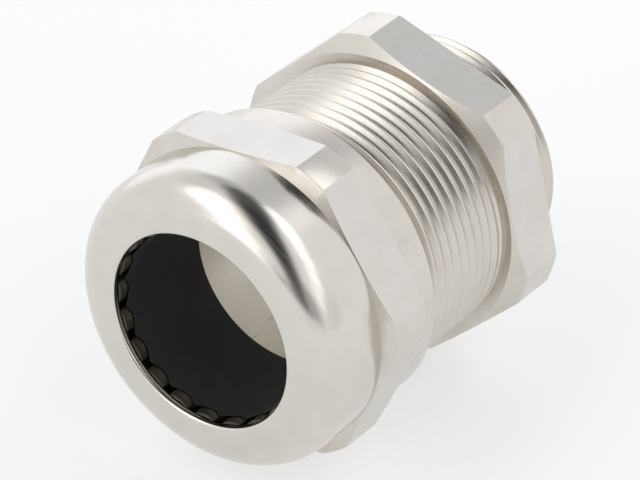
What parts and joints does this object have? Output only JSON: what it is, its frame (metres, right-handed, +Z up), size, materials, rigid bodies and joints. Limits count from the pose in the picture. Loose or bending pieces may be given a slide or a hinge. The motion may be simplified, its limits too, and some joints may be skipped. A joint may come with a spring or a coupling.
{
  "type": "cable gland",
  "caption": "Round cable gland: threaded body with hexagon and entry thread, domed hexagon cap, slotted clamping insert and rubber sealing ring inside.",
  "frame": {"origin": "centre of the body hexagon's seating face, where the entry thread starts", "axes": "+Y along the screw axis, out of the entry thread; -Y out of the cap's mouth; +Z up with the gland lying on its side"},
  "size_m": [0.055, 0.0656, 0.0544],
  "materials": {
    "nickel_body": "nickel plated, fine turned, satin",
    "nickel_cap": "nickel plated, polished dome, fine turned flats",
    "insert_plastic": "moulded polyamide, slightly glossy black",
    "seal_rubber": "matt black rubber"
  },
  "bodies": {
    "gland_body": {"gland_body": "nickel_body"},
    "insert": {"insert_ring": "insert_plastic", "sealing_ring": "seal_rubber"},
    "cap": {"cap": "nickel_cap"},
    "lamella_01": {"lamella_01": "insert_plastic"},
    "lamella_02": {"lamella_02": "insert_plastic"},
    "lamella_03": {"lamella_03": "insert_plastic"},
    "lamella_04": {"lamella_04": "insert_plastic"},
    "lamella_05": {"lamella_05": "insert_plastic"},
    "lamella_06": {"lamella_06": "insert_plastic"},
    "lamella_07": {"lamella_07": "insert_plastic"},
    "lamella_08": {"lamella_08": "insert_plastic"},
    "lamella_09": {"lamella_09": "insert_plastic"},
    "lamella_10": {"lamella_10": "insert_plastic"},
    "lamella_11": {"lamella_11": "insert_plastic"},
    "lamella_12": {"lamella_12": "insert_plastic"},
    "lamella_13": {"lamella_13": "insert_plastic"},
    "lamella_14": {"lamella_14": "insert_plastic"},
    "lamella_15": {"lamella_15": "insert_plastic"},
    "lamella_16": {"lamella_16": "insert_plastic"},
    "lamella_17": {"lamella_17": "insert_plastic"},
    "lamella_18": {"lamella_18": "insert_plastic"},
    "lamella_19": {"lamella_19": "insert_plastic"},
    "lamella_20": {"lamella_20": "insert_plastic"}
  },
  "joints": [
    {"name": "cap_turn", "type": "hinge", "parent": "gland_body", "child": "insert", "pos_m": [0, -0.037, 0], "axis": [0, 1, 0], "range_deg": [0, 900], "deforming": ["sealing_ring"]},
    {"name": "cap_travel", "type": "slide", "parent": "insert", "child": "cap", "axis": [0, 1, 0], "range_m": [0, 0.005]},
    {"name": "lamella_01_bend", "type": "hinge", "parent": "insert", "child": "lamella_01", "pos_m": [0.0186, -0.03938, 0], "axis": [0, 0, -1], "range_deg": [0, 15]},
    {"name": "lamella_02_bend", "type": "hinge", "parent": "insert", "child": "lamella_02", "pos_m": [0.01769, -0.03938, 0.00575], "axis": [0.309, 0, -0.9511], "range_deg": [0, 15]},
    {"name": "lamella_03_bend", "type": "hinge", "parent": "insert", "child": "lamella_03", "pos_m": [0.01505, -0.03938, 0.01093], "axis": [0.5878, 0, -0.809], "range_deg": [0, 15]},
    {"name": "lamella_04_bend", "type": "hinge", "parent": "insert", "child": "lamella_04", "pos_m": [0.01093, -0.03938, 0.01505], "axis": [0.809, 0, -0.5878], "range_deg": [0, 15]},
    {"name": "lamella_05_bend", "type": "hinge", "parent": "insert", "child": "lamella_05", "pos_m": [0.00575, -0.03938, 0.01769], "axis": [0.9511, 0, -0.309], "range_deg": [0, 15]},
    {"name": "lamella_06_bend", "type": "hinge", "parent": "insert", "child": "lamella_06", "pos_m": [0, -0.03938, 0.0186], "axis": [1, 0, 0], "range_deg": [0, 15]},
    {"name": "lamella_07_bend", "type": "hinge", "parent": "insert", "child": "lamella_07", "pos_m": [-0.00575, -0.03938, 0.01769], "axis": [0.9511, 0, 0.309], "range_deg": [0, 15]},
    {"name": "lamella_08_bend", "type": "hinge", "parent": "insert", "child": "lamella_08", "pos_m": [-0.01093, -0.03938, 0.01505], "axis": [0.809, 0, 0.5878], "range_deg": [0, 15]},
    {"name": "lamella_09_bend", "type": "hinge", "parent": "insert", "child": "lamella_09", "pos_m": [-0.01505, -0.03938, 0.01093], "axis": [0.5878, 0, 0.809], "range_deg": [0, 15]},
    {"name": "lamella_10_bend", "type": "hinge", "parent": "insert", "child": "lamella_10", "pos_m": [-0.01769, -0.03938, 0.00575], "axis": [0.309, 0, 0.9511], "range_deg": [0, 15]},
    {"name": "lamella_11_bend", "type": "hinge", "parent": "insert", "child": "lamella_11", "pos_m": [-0.0186, -0.03938, 0], "axis": [0, 0, 1], "range_deg": [0, 15]},
    {"name": "lamella_12_bend", "type": "hinge", "parent": "insert", "child": "lamella_12", "pos_m": [-0.01769, -0.03938, -0.00575], "axis": [-0.309, 0, 0.9511], "range_deg": [0, 15]},
    {"name": "lamella_13_bend", "type": "hinge", "parent": "insert", "child": "lamella_13", "pos_m": [-0.01505, -0.03938, -0.01093], "axis": [-0.5878, 0, 0.809], "range_deg": [0, 15]},
    {"name": "lamella_14_bend", "type": "hinge", "parent": "insert", "child": "lamella_14", "pos_m": [-0.01093, -0.03938, -0.01505], "axis": [-0.809, 0, 0.5878], "range_deg": [0, 15]},
    {"name": "lamella_15_bend", "type": "hinge", "parent": "insert", "child": "lamella_15", "pos_m": [-0.00575, -0.03938, -0.01769], "axis": [-0.9511, 0, 0.309], "range_deg": [0, 15]},
    {"name": "lamella_16_bend", "type": "hinge", "parent": "insert", "child": "lamella_16", "pos_m": [0, -0.03938, -0.0186], "axis": [-1, 0, 0], "range_deg": [0, 15]},
    {"name": "lamella_17_bend", "type": "hinge", "parent": "insert", "child": "lamella_17", "pos_m": [0.00575, -0.03938, -0.01769], "axis": [-0.9511, 0, -0.309], "range_deg": [0, 15]},
    {"name": "lamella_18_bend", "type": "hinge", "parent": "insert", "child": "lamella_18", "pos_m": [0.01093, -0.03938, -0.01505], "axis": [-0.809, 0, -0.5878], "range_deg": [0, 15]},
    {"name": "lamella_19_bend", "type": "hinge", "parent": "insert", "child": "lamella_19", "pos_m": [0.01505, -0.03938, -0.01093], "axis": [-0.5878, 0, -0.809], "range_deg": [0, 15]},
    {"name": "lamella_20_bend", "type": "hinge", "parent": "insert", "child": "lamella_20", "pos_m": [0.01769, -0.03938, -0.00575], "axis": [-0.309, 0, -0.9511], "range_deg": [0, 15]}
  ],
  "couplings": [
    {"joint": "cap_travel", "follows": "cap_turn", "m_per_rad": 0.00031831},
    {"joint": "lamella_01_bend", "follows": "cap_turn", "ratio": 0.016667},
    {"joint": "lamella_02_bend", "follows": "cap_turn", "ratio": 0.016667},
    {"joint": "lamella_03_bend", "follows": "cap_turn", "ratio": 0.016667},
    {"joint": "lamella_04_bend", "follows": "cap_turn", "ratio": 0.016667},
    {"joint": "lamella_05_bend", "follows": "cap_turn", "ratio": 0.016667},
    {"joint": "lamella_06_bend", "follows": "cap_turn", "ratio": 0.016667},
    {"joint": "lamella_07_bend", "follows": "cap_turn", "ratio": 0.016667},
    {"joint": "lamella_08_bend", "follows": "cap_turn", "ratio": 0.016667},
    {"joint": "lamella_09_bend", "follows": "cap_turn", "ratio": 0.016667},
    {"joint": "lamella_10_bend", "follows": "cap_turn", "ratio": 0.016667},
    {"joint": "lamella_11_bend", "follows": "cap_turn", "ratio": 0.016667},
    {"joint": "lamella_12_bend", "follows": "cap_turn", "ratio": 0.016667},
    {"joint": "lamella_13_bend", "follows": "cap_turn", "ratio": 0.016667},
    {"joint": "lamella_14_bend", "follows": "cap_turn", "ratio": 0.016667},
    {"joint": "lamella_15_bend", "follows": "cap_turn", "ratio": 0.016667},
    {"joint": "lamella_16_bend", "follows": "cap_turn", "ratio": 0.016667},
    {"joint": "lamella_17_bend", "follows": "cap_turn", "ratio": 0.016667},
    {"joint": "lamella_18_bend", "follows": "cap_turn", "ratio": 0.016667},
    {"joint": "lamella_19_bend", "follows": "cap_turn", "ratio": 0.016667},
    {"joint": "lamella_20_bend", "follows": "cap_turn", "ratio": 0.016667}
  ]
}
